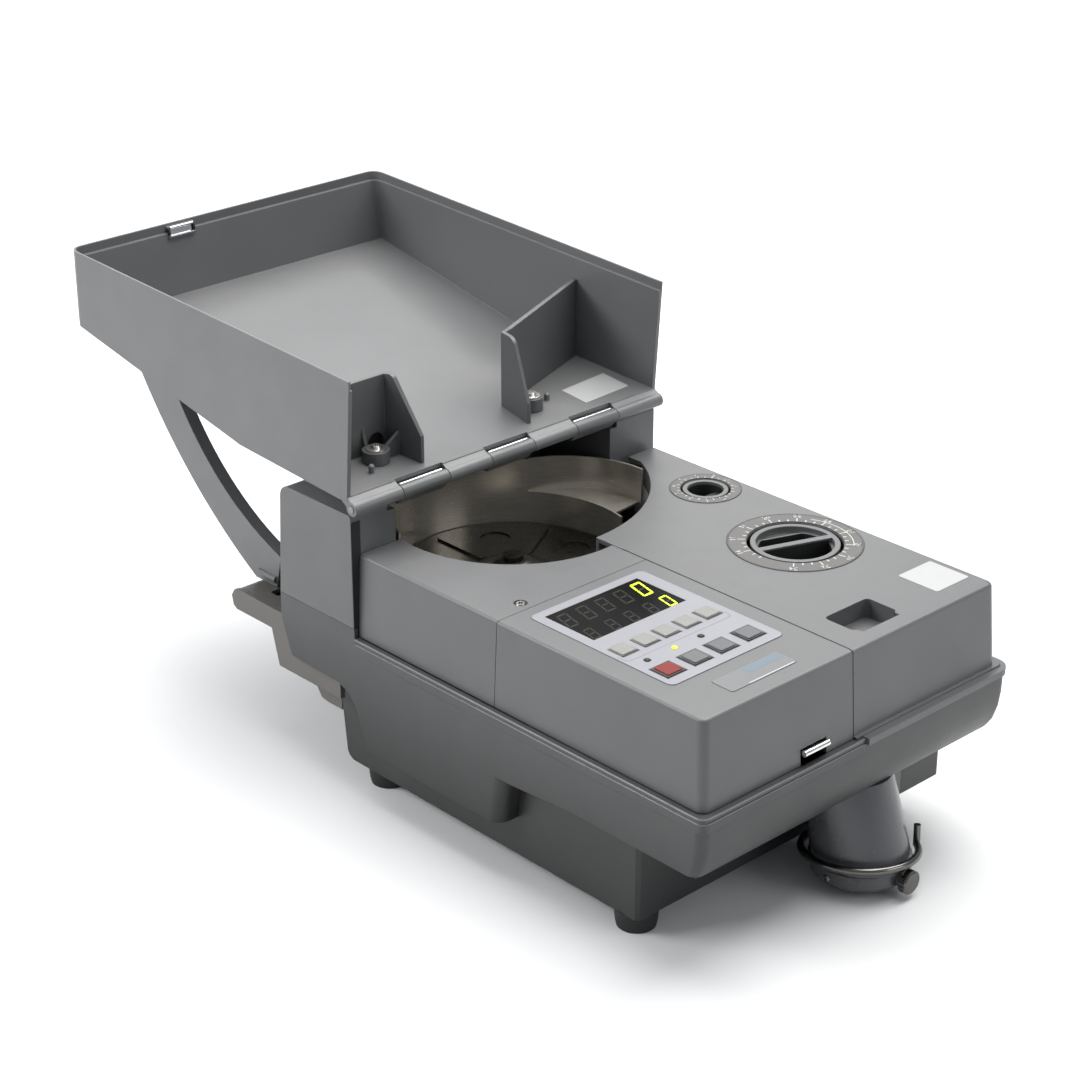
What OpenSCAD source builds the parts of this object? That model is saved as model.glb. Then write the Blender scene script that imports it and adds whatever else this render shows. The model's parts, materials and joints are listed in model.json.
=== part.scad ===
// Bench-top coin counting machine: a slanted feed tray tips coins into a
// round hopper, a turning disc feeds them along a belt track, and they fall
// through a front outlet tube into a bag held by a wire ring.
// Working axes: +X operator's right, +Y to the rear, +Z up.

/* [Upper case] */
// Width of the top of the upper case
case_w = 222; // [220:0.5:224]
// Height of the upper case above the ledge
case_h = 48.8; // [48:0.2:50]
// Position of the seam between control cover and right cover
seam_x = 107.5; // [106:0.5:108]
// Position of the seam between control cover and hopper cover
seam_y = 145; // [144:0.5:146]
// Wall thickness of the moulded covers
wall = 2.6; // [2.4:0.1:2.8]

/* [Hopper] */
// Hopper centre, X
hop_x = 100.5; // [100:0.5:101]
// Hopper centre, Y
hop_y = 242.5; // [242:0.5:243]
// Radius of the opening in the hopper cover
hop_r = 72.5; // [72:0.1:73]
// Radius of the feed disc
disc_r = 68.5; // [67:0.1:68.8]

/* [Tray] */
// Height of the tray hinge axis above the ledge
hinge_z = 77; // [76.8:0.1:77.4]
// Distance of the tray hinge axis from the front top edge
hinge_y = 253.5; // [253.2:0.1:253.8]
// Radius of the hinge barrel
barrel_r = 4; // [3.8:0.1:4]
// Radius of the hinge pin
pin_r = 2; // [1.8:0.1:2]
// Wall thickness of the tray
tray_wall = 2.4; // [2:0.1:2.6]

/* [Dials] */
// Radius of the large dial knob
dial_r = 24.5; // [23:0.1:24.6]
// Radius of the small dial knob
small_dial_r = 13; // [12:0.1:13]

/* [Base] */
// Height of the rubber feet
foot_h = 11; // [10:0.5:11]
// Depth of the case from the ledge to its underside
base_d = 90; // [90:0.5:91]

/* [Hidden] */
$fn = 64;
// shift from the working axes (front top left edge) to the middle of the footprint
ox = 112.5; oy = 243.55; oz = base_d + foot_h;
cov_z = 42.4;          // height of the right cover's hinge axis
arm_p = [466, 93];     // pivot of the support arms, Y and Z
run = 0.05;            // radial running clearance of pins in bores
big = [182.3, 105];    // large dial centre
sml = [199.3, 188.3];  // small dial centre
grey = [0.47, 0.47, 0.48]; dark = [0.10, 0.10, 0.11]; steel = [0.72, 0.71, 0.69];

// ---------- helpers ----------
function arc(cx, cy, r, a0, a1, n) = [for (i = [0 : n]) let (a = a0 + (a1 - a0) * i / n) [cx + r * cos(a), cy + r * sin(a)]];
// rounded rectangle outline
function rr(x0, y0, x1, y1, r, n = 6) = concat(arc(x1 - r, y0 + r, r, -90, 0, n), arc(x1 - r, y1 - r, r, 0, 90, n),
  arc(x0 + r, y1 - r, r, 90, 180, n), arc(x0 + r, y0 + r, r, 180, 270, n));
// outline with two rounded front corners and a square rear
function fr(x0, y0, x1, y1, r, z, n = 5) = [for (p = concat(arc(x1 - r, y0 + r, r, -90, 0, n), [[x1, y1], [x0, y1]],
  arc(x0 + r, y0 + r, r, 180, 270, n))) [p[0], p[1], z]];
module place() translate([-ox, -oy, oz]) children();
module box(a, b) translate(a) cube([b[0] - a[0], b[1] - a[1], b[2] - a[2]]);
module rbox(a, b, r) translate([0, 0, a[2]]) linear_extrude(b[2] - a[2]) polygon(rr(a[0], a[1], b[0], b[1], r));
// side profile in Y,Z drawn out along X
module prof(x0, x1, pts) translate([x0, 0, 0]) rotate([90, 0, 90]) linear_extrude(x1 - x0) polygon(pts);
// front profile in X,Z drawn out along Y
module profy(y0, y1, pts) translate([0, y1, 0]) rotate([90, 0, 0]) linear_extrude(y1 - y0) polygon(pts);
module rodx(x0, x1, y, z, r) translate([x0, y, z]) rotate([0, 90, 0]) cylinder(r = r, h = x1 - x0);
module rody(y0, y1, x, z, r) translate([x, y0, z]) rotate([-90, 0, 0]) cylinder(r = r, h = y1 - y0);
module rodz(z0, z1, x, y, r) translate([x, y, z0]) cylinder(r = r, h = z1 - z0);
// stack of outlines with equal point counts, lowest first
module loft(rings) {
  n = len(rings[0]); m = len(rings);
  polyhedron(points = [for (r = rings) for (p = r) p],
    faces = concat([[for (i = [0 : n - 1]) i]], [[for (i = [n - 1 : -1 : 0]) (m - 1) * n + i]],
      [for (j = [0 : m - 2]) for (i = [0 : n - 1]) [j * n + i, (j + 1) * n + i, (j + 1) * n + (i + 1) % n]],
      [for (j = [0 : m - 2]) for (i = [0 : n - 1]) [j * n + i, (j + 1) * n + (i + 1) % n, j * n + (i + 1) % n]]));
}
// spur gear outline with straight flanks and free backlash, one tooth on +X
function gear_pts(n, m) = [for (i = [0 : n - 1]) let (a = 360 / n * i, r = n * m / 2, ro = r + 0.85 * m, ri = r - 1.1 * m,
  w = 180 / PI * m / r) for (q = [[ri, -0.80 * w], [r, -0.55 * w], [ro, -0.28 * w], [ro, 0.28 * w], [r, 0.55 * w], [ri, 0.80 * w]])
  [q[0] * cos(a + q[1]), q[0] * sin(a + q[1])]];
module gear(n, m, h) linear_extrude(h) polygon(gear_pts(n, m));
// pan-head screw pointing down, head on z = 0
module screw(r = 3.4, h = 2.1, sh = 6, sr = 1.6) difference() {
  union() { cylinder(r1 = r, r2 = r * 0.72, h = h); translate([0, 0, -sh]) cylinder(r = sr, h = sh + 0.1); }
  translate([-r * 0.55, -0.4, h - 0.9]) cube([r * 1.1, 0.8, 2]); translate([-0.4, -r * 0.55, h - 0.9]) cube([0.8, r * 1.1, 2]);
}

// ---------- upper case ----------
module upper_outer() loft([fr(-2.3, -3.7, case_w + 1.5, 256, 5, 0), fr(-0.1, -0.2, case_w + 0.1, 256, 5, case_h - 2),
  fr(0.17, 0.07, case_w - 0.17, 256, 4.8, case_h - 1), fr(0.9, 0.8, case_w - 0.9, 256, 4.2, case_h - 0.27),
  fr(1.9, 1.8, case_w - 1.9, 256, 3.4, case_h)]);
module upper_inner() loft([fr(-2.3 + wall, -3.7 + wall, case_w + 1.5 - wall, 257, 3, -1), fr(wall, wall - 0.2, case_w - wall, 257, 3, case_h - wall)]);
module upper_shell() difference() { upper_outer(); upper_inner(); }
tk = [24.1, 39.6, 54.4, 69.3, 84.5];   // upper key centres
lk = [25.5, 44.5, 63.4, 83.1];         // lower key centres
ty = 78.3; ly = 48.1; tw = 10.6; td = 10.4; lw = 12.6; ld = 12;
lamps = [25.2, 44.6, 63.5]; lamp_y = 62.3;
module key_holes(c, z0, z1) {
  for (x = tk) box([x - tw / 2 - c, ty - td / 2 - c, z0], [x + tw / 2 + c, ty + td / 2 + c, z1]);
  for (x = lk) box([x - lw / 2 - c, ly - ld / 2 - c, z0], [x + lw / 2 + c, ly + ld / 2 + c, z1]);
}
module control_cover() color(grey) place() difference() {
  union() {
    intersection() { upper_shell(); box([-10, -10, 0], [seam_x - 0.3, seam_y - 0.2, 60]); }
    box([seam_x - 2.3, 3, 39], [seam_x - 0.3, seam_y - 0.2, case_h - 1]);
    box([3, seam_y - 2.2, 39], [seam_x - 0.3, seam_y - 0.2, case_h - 1]);
  }
  rbox([14.5, 34.8, case_h - 0.35], [96.2, 137.4, 60], 4);
  rbox([31.8, 10.8, case_h - 0.6], [78.7, 25.7, 60], 1.6);
  box([20.8, 95.6, 40], [87.4, 131.6, 60]);
  key_holes(0.35, 40, 60);
  for (x = lamps) rodz(40, 60, x, lamp_y, 1.7);
  box([67.6, -12, -1], [87, 3, 9.1]);
}
module hopper_cover() color(grey) place() difference() {
  union() {
    intersection() { upper_shell(); box([-10, seam_y + 0.2, 0], [seam_x - 0.3, 254.6, 60]); }
    box([3, seam_y + 0.2, 41], [seam_x - 0.3, seam_y + 2.2, case_h - 1]);
    intersection() { rodz(30, case_h - 0.2, hop_x, hop_y, hop_r + 2.4); box([1, seam_y + 0.2, 30], [seam_x - 0.3, 254.6, 60]); }
  }
  rodz(20, 60, hop_x, hop_y, hop_r);
  rodz(20, 60, 23.2, 152.4, 1.9);
  rodz(case_h - 1.4, 60, 23.2, 152.4, 3.7);
}
// finger pull, dial openings and the curved edge over the hopper
module right_cover() color(grey) place() difference() {
  union() {
    intersection() { upper_shell(); box([seam_x + 0.4, -10, 0], [260, 251, 60]); }
    translate([0, 0, -3.6]) linear_extrude(3.7) polygon(concat([[113.2, -2.6], [113.2, -9.6]], arc(221, 0.4, 10, -90, 0, 8), [[231, 246], [case_w + 0.6, 246], [case_w + 0.6, -2.6]]));
    translate([0, 0, 0.05]) linear_extrude(1.15) polygon(concat([[seam_x + 0.4, -1.6], [seam_x + 0.4, -5.4]], arc(223.2, -0.9, 4.5, -90, 0, 5), [[227.7, 246], [case_w - 0.4, 246], [case_w - 0.4, -1.6]]));
    box([seam_x + 0.4, 3, 39], [seam_x + 2.4, 166, case_h - 1]);
    rbox([121, 10.5, case_h - 13.5], [161.5, 37.5, case_h - 0.5], 4);
    rodx(200, 218, 247, cov_z, 3.2);
    box([200, 244.2, cov_z], [218, 249.8, case_h - 1]);
    intersection() { rodz(36, case_h - 0.2, 108.2, 285.4, 104); difference() { box([seam_x + 0.4, 180, 36], [199.9, 240, 60]); rodz(30, 60, 108.2, 285.4, 102); } }
  }
  intersection() { rodz(-5, 70, 108.2, 285.4, 102); box([seam_x - 1, 150, 3], [199.9, 260, 70]); }
  rbox([124.5, 13.5, case_h - 11], [158.5, 34, 60], 3);
  prof(127, 156, [[13.5, case_h + 1], [9.5, case_h + 1], [13.6, case_h - 7]]);
  rodz(30, 60, big[0], big[1], 26.5);
  rodz(30, 60, sml[0], sml[1], 14.3);
  rodz(case_h - 0.35, 60, big[0], big[1], 37.4);
  rodz(case_h - 0.35, 60, sml[0], sml[1], 20.7);
  rodx(195, 219, 247, cov_z, 1.5 + run);
}
module scale_ring(c, ri, ro) translate([c[0], c[1], case_h - 0.3]) difference() { cylinder(r = ro, h = 0.55); translate([0, 0, -1]) cylinder(r = ri, h = 3); }
module diameter_scale() color([0.62, 0.60, 0.57]) place() scale_ring(big, 26.8, 37.2);
module thickness_scale() color([0.62, 0.60, 0.57]) place() scale_ring(sml, 14.6, 20.5);

// ---------- control panel ----------
module overlay_panel() color([0.85, 0.85, 0.9]) place() difference() {
  rbox([14.7, 35, case_h - 0.3], [96, 137.2, case_h + 0.35], 3.8);
  box([20.8, 95.6, 40], [87.4, 131.6, 60]);
  key_holes(0.35, 40, 60);
  for (x = lamps) rodz(40, 60, x, lamp_y, 1.7);
}
module badge_plate() color([0.75, 0.76, 0.78]) place() rbox([32, 11, case_h - 0.55], [78.5, 25.5, case_h + 0.2], 1.4);
module display_window() color([0.04, 0.04, 0.04]) place() union() {
  box([21, 95.8, case_h - 1.4], [87.2, 131.4, case_h + 0.3]);
}
module display_board() color([0.05, 0.25, 0.12]) place() union() {
  box([8, 37, 34.6], [102, 140, 36.2]);
  box([23, 97.5, 36.2], [85.4, 129.6, 46.8]);
  for (x = tk) box([x - 3, ty - 3, 36.2], [x + 3, ty + 3, 38.4]);
  for (x = lk) box([x - 3, ly - 3, 36.2], [x + 3, ly + 3, 38.4]);
  for (p = [[11, 40], [99, 40], [11, 137], [99, 137]]) rodz(5, 34.6, p[0], p[1], 3);
}
module indicator_lamps() color([0.8, 0.9, 0.1]) place() for (x = lamps) { rodz(36.2, case_h - 0.2, x, lamp_y, 1.5); translate([x, lamp_y, case_h - 0.2]) cylinder(r1 = 1.5, r2 = 1, h = 0.7); }
module key(x, y, w, d, c) color(c) place() union() {
  rbox([x - w / 2, y - d / 2, case_h - 5], [x + w / 2, y + d / 2, case_h + 0.8], 0.6);
  box([x - w / 2 - 1.1, y - d / 2 - 1.1, case_h - 5.6], [x + w / 2 + 1.1, y + d / 2 + 1.1, case_h - 4.2]);
  rodz(39.8, case_h - 5, x, y, 2.2);
}
pale = [0.78, 0.78, 0.74]; mid = [0.6, 0.61, 0.63];
module key_top_1() key(tk[0], ty, tw, td, pale);
module key_top_2() key(tk[1], ty, tw, td, pale);
module key_top_3() key(tk[2], ty, tw, td, pale);
module key_top_4() key(tk[3], ty, tw, td, pale);
module key_top_5() key(tk[4], ty, tw, td, pale);
module key_low_1() key(lk[0], ly, lw, ld, [0.75, 0.25, 0.2]);
module key_low_2() key(lk[1], ly, lw, ld, mid);
module key_low_3() key(lk[2], ly, lw, ld, mid);
module key_low_4() key(lk[3], ly, lw, ld, mid);

// ---------- dials and gauges ----------
module half_pocket(r, g, z0, z1) intersection() { rodz(z0, z1, 0, 0, r); box([-40, g, z0], [40, 40, z1]); }
module diameter_dial() color(grey) place() translate([big[0], big[1], 0]) union() {
  rotate([0, 0, -20]) difference() {
    rodz(33, case_h - 0.2, 0, 0, dial_r);
    for (a = [0, 180]) rotate([0, 0, a]) {
      half_pocket(dial_r - 3, 2, 45.4, 60);
      intersection() { half_pocket(dial_r - 4.4, 2, 36, 60); box([-40, 0, 30], [40, 15.6, 60]); }
    }
  }
  rodz(5.3, 34.2, 0, 0, 4);
  translate([0, 0, 11]) rotate([0, 0, 15]) gear(12, 1, 7);
}
// the rack meets the pinion in +Y; at rest a pinion gap faces a rack tooth
module gauge_slide() color(steel) place() union() {
  box([150, 62, 6.2], [154, 150, 9.6]);
  box([153, 117, 6.2], [158, 124, 17.5]);
  box([153, 112.6, 11.5], [203, 118, 17.5]);
  for (i = [-5 : 5]) translate([big[0] + i * PI, 0, 11.5]) linear_extrude(6)
    polygon([[-0.78, 112.7], [-0.55, 111], [-0.28, 110.15], [0.28, 110.15], [0.55, 111], [0.78, 112.7]]);
}
module thickness_dial() color(grey) place() translate([sml[0], sml[1], 0]) union() {
  difference() { rodz(33, case_h - 0.2, 0, 0, small_dial_r); rodz(37, 60, 0, 0, small_dial_r - 2.6); }
  box([-9.8, -1.4, 36], [9.8, 1.4, 43]);
  rodz(5.3, 33.5, 0, 0, 3);
}
module thickness_gate() color(steel) place() difference() {
  union() {
    rodz(17, 25, sml[0], sml[1], 6.5);
    box([150, 185.3, 18], [196, 191.3, 23]);
    box([150, 180, 10], [153, 191.3, 23]);
  }
  rodz(10, 40, sml[0], sml[1], 3 + run);
}
module release_latch() color([0.85, 0.85, 0.86]) place() union() {
  rodx(68.2, 86.4, -5, 7, 1.7);
  box([68.2, -5, 6.1], [86.4, 8, 7.9]);
  box([68.2, 6, 6.1], [86.4, 8, 20]);
}

// ---------- hopper and feed ----------
module feed_deck() color([0.3, 0.3, 0.32]) place() difference() {
  union() {
    rbox([4, 3, 2], [217, 250, 5], 3);
    box([30, 240, 2], [186, 312, 5]);
    difference() { rodz(-6, 2.1, hop_x, hop_y, 10); }
  }
  rodz(-10, 10, hop_x, hop_y, 6 + run);
  rodz(-1, 10, out_x, out_y + 0.6, 13.8);
  box([66, 0, 0], [90, 12, 10]);
}
module hopper_bowl() color(steel) place() union() {
  difference() {
    translate([hop_x, hop_y, 0]) rotate([0, 0, -15]) rotate_extrude(angle = 300)
      polygon([[disc_r + 1, 5], [disc_r + 2.8, 5], [disc_r + 2.8, 6.2], [disc_r + 2.2, 6.2], [disc_r + 2.2, 49.4], [disc_r + 1, 49.4]]);
    // low stretch beside the shelf, and the lower rim under the left cover
    translate([hop_x, hop_y, 28.9]) linear_extrude(30) polygon(concat([[0, 0]], arc(0, 0, 110, -20, 40.2, 3)));
    translate([hop_x, hop_y, 44]) linear_extrude(30) polygon(concat([[0, 0]], arc(0, 0, 110, 165.5, 290, 6)));
  }
  // shelf and deflector strip that guide coins towards the track
  translate([0, 0, 27.3]) linear_extrude(1.2) polygon(concat(arc(131.1, 232.3, 60.5, 1, 67, 16), arc(hop_x, hop_y, disc_r + 1.6, 39.6, -9, 12)));
  translate([0, 0, 27.6]) linear_extrude(22) polygon(concat(arc(131.1, 232.3, 61.1, -1, 67.6, 18), arc(131.1, 232.3, 59.9, 67.6, -1, 18)));
}
module feed_disc() color([0.66, 0.65, 0.63]) place() translate([hop_x, hop_y, 0]) union() {
  difference() {
    rodz(6.2, 9, 0, 0, disc_r);
    for (a = [0 : 60 : 300]) rotate([0, 0, a]) translate([48, 0, 8.2]) cylinder(r = 9, h = 3);
  }
  translate([0, 0, 9]) cylinder(r1 = 26, r2 = 9, h = 9);
  translate([0, 0, 17.9]) cylinder(r = 6, h = 3);
  for (a = [30 : 60 : 330]) rotate([0, 0, a]) rbox([24, -2.2, 8.5], [64, 2.2, 10.4], 2);
  rodz(-24, 6.3, 0, 0, 6);
}
module disc_gear() color([0.85, 0.83, 0.75]) place() translate([hop_x, hop_y, -17]) difference() {
  union() { gear(70, 1.25, 7); rodz(-5, 9, 0, 0, 12); }
  rodz(-10, 20, 0, 0, 6.02);
}
module motor_pinion() color(steel) place() translate([hop_x, hop_y - 52.5, -17]) union() {
  rotate([0, 0, 90]) gear(14, 1.25, 7);
  rodz(-4, 0.1, 0, 0, 3);
}
module drive_motor() color([0.25, 0.25, 0.27]) place() translate([hop_x, hop_y - 52.5, 0]) union() {
  difference() { rodz(-66, -22, 0, 0, 27); rodz(-26, -10, 0, 0, 3 + run); rodz(-24, -10, 0, 0, 9); }
  difference() { box([-34, -20, -70], [34, 20, -66]); for (x = [-30, 30]) rodz(-80, -60, x, 0, 2.2); }
  for (x = [-30, 30]) difference() { rodz(-86.9, -70, x, 0, 5); rodz(-90, -60, x, 0, 2.2); }
}
module coin_track() color(steel) place() difference() {
  union() { box([118, 40, 5.05], [149, 171, 5.85]); box([118, 40, 5.05], [119.2, 171, 10]); }
  rodz(0, 12, out_x, out_y + 0.6, 14);
}
module belt_frame() color([0.2, 0.2, 0.22]) place() for (x = [126.6, 145.4]) difference() {
  union() {
    prof(x, x + 1.8, concat(arc(195, 22, 8.5, -90, 90, 10), arc(40, 22, 8.5, 90, 270, 10)));
    box([x, 51, 5.9], [x + 1.8, 58, 22]); box([x, 160, 5.9], [x + 1.8, 168, 22]);
  }
  rodx(x - 5, x + 5, 195, 22, 2 + run); rodx(x - 5, x + 5, 40, 22, 2 + run);
}
module feed_belt() color([0.12, 0.12, 0.12]) place() difference() {
  prof(132, 142, concat(arc(195, 22, 10.8, -90, 90, 16), arc(40, 22, 10.8, 90, 270, 16)));
  prof(131, 143, concat(arc(195, 22, 9.3, -90, 90, 16), arc(40, 22, 9.3, 90, 270, 16)));
}
module roller(y) union() { rodx(130, 144, y, 22, 8.8); rodx(126.2, 147.6, y, 22, 2); }
module belt_roller_front() color([0.5, 0.5, 0.52]) place() union() { roller(40); rodx(147.5, 152, 40, 22, 2); }
module belt_roller_rear() color([0.5, 0.5, 0.52]) place() roller(195);
module feed_motor() color([0.55, 0.55, 0.56]) place() union() {
  difference() { rodx(148.4, 178, 40, 22, 9.5); rodx(140, 154, 40, 22, 2 + run); }
  difference() { box([160, 33, 5], [172, 47, 22]); rodx(155, 180, 40, 22, 9); }
}
module coin_sensor() color(dark) place() difference() {
  box([110, 60, 5.05], [125, 76, 15]);
  box([117.4, 50, 0], [130, 90, 11.2]);
}

// ---------- lower case, base and rear ----------
side_pts = [[131, -0.3], [254.7, -0.3], [254.7, 5.3], [319.5, 5.3], [319.5, -11], [311.5, -32], [270, -33],
  [262, -36], [255, -43], [250.5, -54], [247, -67.5], [148, -67.5], [143.6, -38.2], [131, -38]];
// rounded front end of a deep flank, and the same for the right side
function end_ring(x0, x1, y0, y1, r, z) = [for (p = concat([[x1, y0], [x1, y1], [x0, y1]], arc(x0 + r, y0 + r, r, 180, 270, 6))) [p[0], p[1], z]];
function flip(r) = [for (i = [len(r) - 1 : -1 : 0]) [219.1 - r[i][0], r[i][1], r[i][2]]];
// outline whose left side runs out into the flush left flank
function skirt_ring(x0, y0, x1, r, f, z) = [for (p = concat(arc(x1 - r, y0 + r, r, -90, 0, 5), [[x1, 252], [f, 252], [f, 129], [x0, 92]],
  arc(x0 + r, y0 + r, r, 180, 270, 5))) [p[0], p[1], z]];
// upright at the top, curving in at the bottom
module skirt(i) loft([for (q = [[-1.8, 1, 229.4, -38.5 - i * 0.2], [-3.4, -2.6, 230, -33], [-4.6, -5.1, 230.4, -25], [-5.1, -6.2, 230.6, -16],
  [-5.2, -6.4, 230.6, -9], [-5.2, -6.4, 230.6, -4.3 + i * 3]]) skirt_ring(q[0] + i, q[1] + i, q[2] - i, 6 - i / 2, -5.5 + i, q[3])]);
module lower_case() color(grey) place() difference() {
  union() {
    difference() { skirt(0); skirt(2.8); }
    // ledge bead that the tray rim comes down on
    difference() {
      translate([0, 0, -8.4]) linear_extrude(8.1) polygon(concat([[112.6, -7.4]], [[112.6, 3], [4, 3], [4, 254.6], [-6, 254.6]], arc(-1, -2.4, 5, 180, 270, 5)));
      skirt(2.8);
      box([-2, -0.8, -10], [113, 260, 2]);
      box([-8, -12, -3.1], [-5.6, 260, -2.4]); box([-8, -12, -3.1], [113, -6.9, -2.4]);
    }
    prof(-5.5, -2.7, side_pts);
    prof(221.8, 224.6, side_pts);
    // undersides and end walls of the two deep flanks
    for (x = [[-5.4, 7.7], [214.3, 224.5]]) {
      box([x[0], 150, -67.4], [x[1], 246.5, -64.8]);
      prof(x[0], x[1], [[247, -67.4], [244.4, -67.4], [247.6, -54], [253, -41], [261, -33.5], [270, -30.2], [270, -33], [262, -36], [255, -43], [250.5, -54]]);
    }
    difference() {
      loft([end_ring(-5.5, 7.7, 139, 152, 8, -67.5), end_ring(-5.5, 7.7, 134.6, 152, 8, -36)]);
      loft([end_ring(-2.7, 17, 141.42, 160, 5.2, -64.8), end_ring(-2.7, 17, 136.56, 160, 5.2, -30)]);
    }
    difference() {
      loft([flip(end_ring(-5.5, 4.8, 139, 152, 8, -67.5)), flip(end_ring(-5.5, 4.8, 134.6, 152, 8, -36))]);
      loft([flip(end_ring(-2.7, 17, 141.42, 160, 5.2, -64.8)), flip(end_ring(-2.7, 17, 136.56, 160, 5.2, -30))]);
    }
    box([221.8, 249, -38.4], [228.9, 252, -4.4]);
    box([221.8, 100, -38.4], [228.4, 251, -35.6]);
    prof(-4, 223, [[319.5, 5.3], [319.5, -11], [311.5, -32], [270, -33], [270, -30.2], [309.5, -29.4], [316.7, -10.4], [316.7, 5.3]]);
    box([-1.4, 104, -38.4], [2, 118, -35.6]); box([-3.6, 116, -38.4], [2, 140, -35.6]);
    // underside of the front overhang
    difference() { box([-0.4, 1.6, -38.4], [227.6, 140, -35.6]); box([11, 52, -50], [211, 150, -30]); box([165, 43, -50], [211, 60, -30]); }
  }
  intersection() { rodz(-50, -30, out_x, 25.6, 22.7); box([90, 3.2, -50], [190, 80, -30]); }
  box([138, 5, -50], [162, 20, -30]);
  box([113, -30, -4.3], [260, 300, 5]);
}
module base_tub() color([0.30, 0.30, 0.32]) place() difference() {
  union() {
    difference() {
      intersection() {
        translate([0, 0, -90]) linear_extrude(51.2) polygon([[8, 51], [10, 49], [165, 49], [165, 40], [212, 40], [214, 42], [214, 286], [8, 286]]);
        prof(0, 230, [[30, -90], [276, -90], [279.6, -88], [281, -85.5], [285.4, -46], [262, -46], [262, -38.8], [30, -38.8]]);
      }
      intersection() {
        translate([0, 0, -87]) linear_extrude(60) polygon([[11, 52], [168, 52], [168, 43], [211, 43], [211, 286], [11, 286]]);
        prof(0, 230, [[30, -87], [276.6, -87], [278.2, -85], [282.6, -45], [282.6, -30], [30, -30]]);
      }
      box([177.6, 30, -68.4], [209.4, 60, -30]);
    }
    // forward housing beside the outlet tube
    difference() { rbox([175, 20, -71], [212, 42.6, -38.8], 3); box([177.6, 22.6, -68.4], [209.4, 60, -30]); }
    for (p = [[22, 66], [22, 258], [200, 66], [200, 258]]) rodz(-87.5, 2, p[0], p[1], 6);
  }
  for (p = feet) rodz(-95, -80, p[0], p[1], 2);
}
feet = [[19.5, 61], [21, 260], [202, 61], [202, 260]];
module rubber_feet() color(dark) place() for (p = feet) translate([p[0], p[1], -oz]) difference() {
  union() { cylinder(r1 = 10.6, r2 = 11.2, h = 3); translate([0, 0, 3]) cylinder(r1 = 11.2, r2 = 12, h = foot_h - 3.02); }
  translate([0, 0, -1]) cylinder(r = 4.4, h = 6); translate([0, 0, -1]) cylinder(r = 2, h = 20);
}
module case_screws() color(steel) place() union() {
  for (p = feet) translate([p[0], p[1], -oz + 5]) mirror([0, 0, 1]) screw(3.6, 2.1, 11.8, 1.9);
  translate([23.2, 152.4, case_h - 1.35]) screw(3.2, 1.4, 8, 1.7);
  for (s = [-1, 1]) translate([col[0] + s * 26.95, col[1], -91.2]) rotate([0, s * 90, 0]) screw(2.1, 1.2, 2.4, 1.1);
}
module rear_housing() color(grey) place() difference() {
  union() {
    difference() {
      prof(-5.5, 224.6, concat([[255, 5.6], [319.4, 5.6]], arc(309, 65.4, 7, 2, 90, 6), [[257, 72.4]], arc(257, 70.4, 2, 90, 180, 4)));
      // space between the two towers
      box([25.7, 250, 0], [188.6, 314.5, 69.4]);
      prof(-2.9, 23.1, [[257.6, 0], [316.8, 0], [313.4, 66], [309, 69.6], [257.6, 69.6]]);
      prof(191.2, 222, [[257.6, 0], [316.8, 0], [313.4, 66], [309, 69.6], [257.6, 69.6]]);
      box([20, 250, 68], [194, 259, 80]);
    }
    // fixed hinge knuckles
    for (s = [[28.2, 61.2], [92.6, 124.7], [157.9, 190.3]]) {
      rodx(s[0], s[1], hinge_y, hinge_z, barrel_r);
      prof(s[0] + 0.2, s[1] - 0.2, [[253.5, 80.9], [257.1, 80.6], [257.3, 76.6], [259.4, 72.4], [259.4, 69.4], [255.5, 69.4], [251.5, 74.2]]);
    }
  }
  rodx(-20, 250, hinge_y, hinge_z, pin_r + run);
  // openings for the mains inlet and the power switch
  box([193.2, 310, 17.6], [220.4, 330, 39.4]);
  box([198, 310, 45.6], [216, 330, 58.4]);
}
module hinge_pin() color(steel) place() rodx(-6, 226.7, hinge_y, hinge_z, pin_r);
module power_inlet() color(dark) place() difference() {
  union() { box([193.4, 300, 17.8], [220.2, 319.2, 39.2]); prof(191.6, 222.2, [[318.9, 15], [317.9, 42], [319.5, 42], [320.5, 15]]); }
  translate([206.8, 325, 28.5]) rotate([90, 0, 0]) linear_extrude(19) polygon([[-11.5, -8], [11.5, -8], [11.5, 5], [8.5, 8], [-8.5, 8], [-11.5, 5]]);
  prof(190, 224, [[321.2, 10], [320.3, 45], [330, 45], [330, 10]]);
}
module power_switch() color(dark) place() union() { rodx(198.3, 215.7, 314, 52.2, 1.5); prof(198.6, 215.4, [[310, 55.4], [310, 49], [317.6, 47.4], [319.4, 48], [318.4, 52.2], [320.2, 56.4], [318.2, 57]]); }
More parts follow.
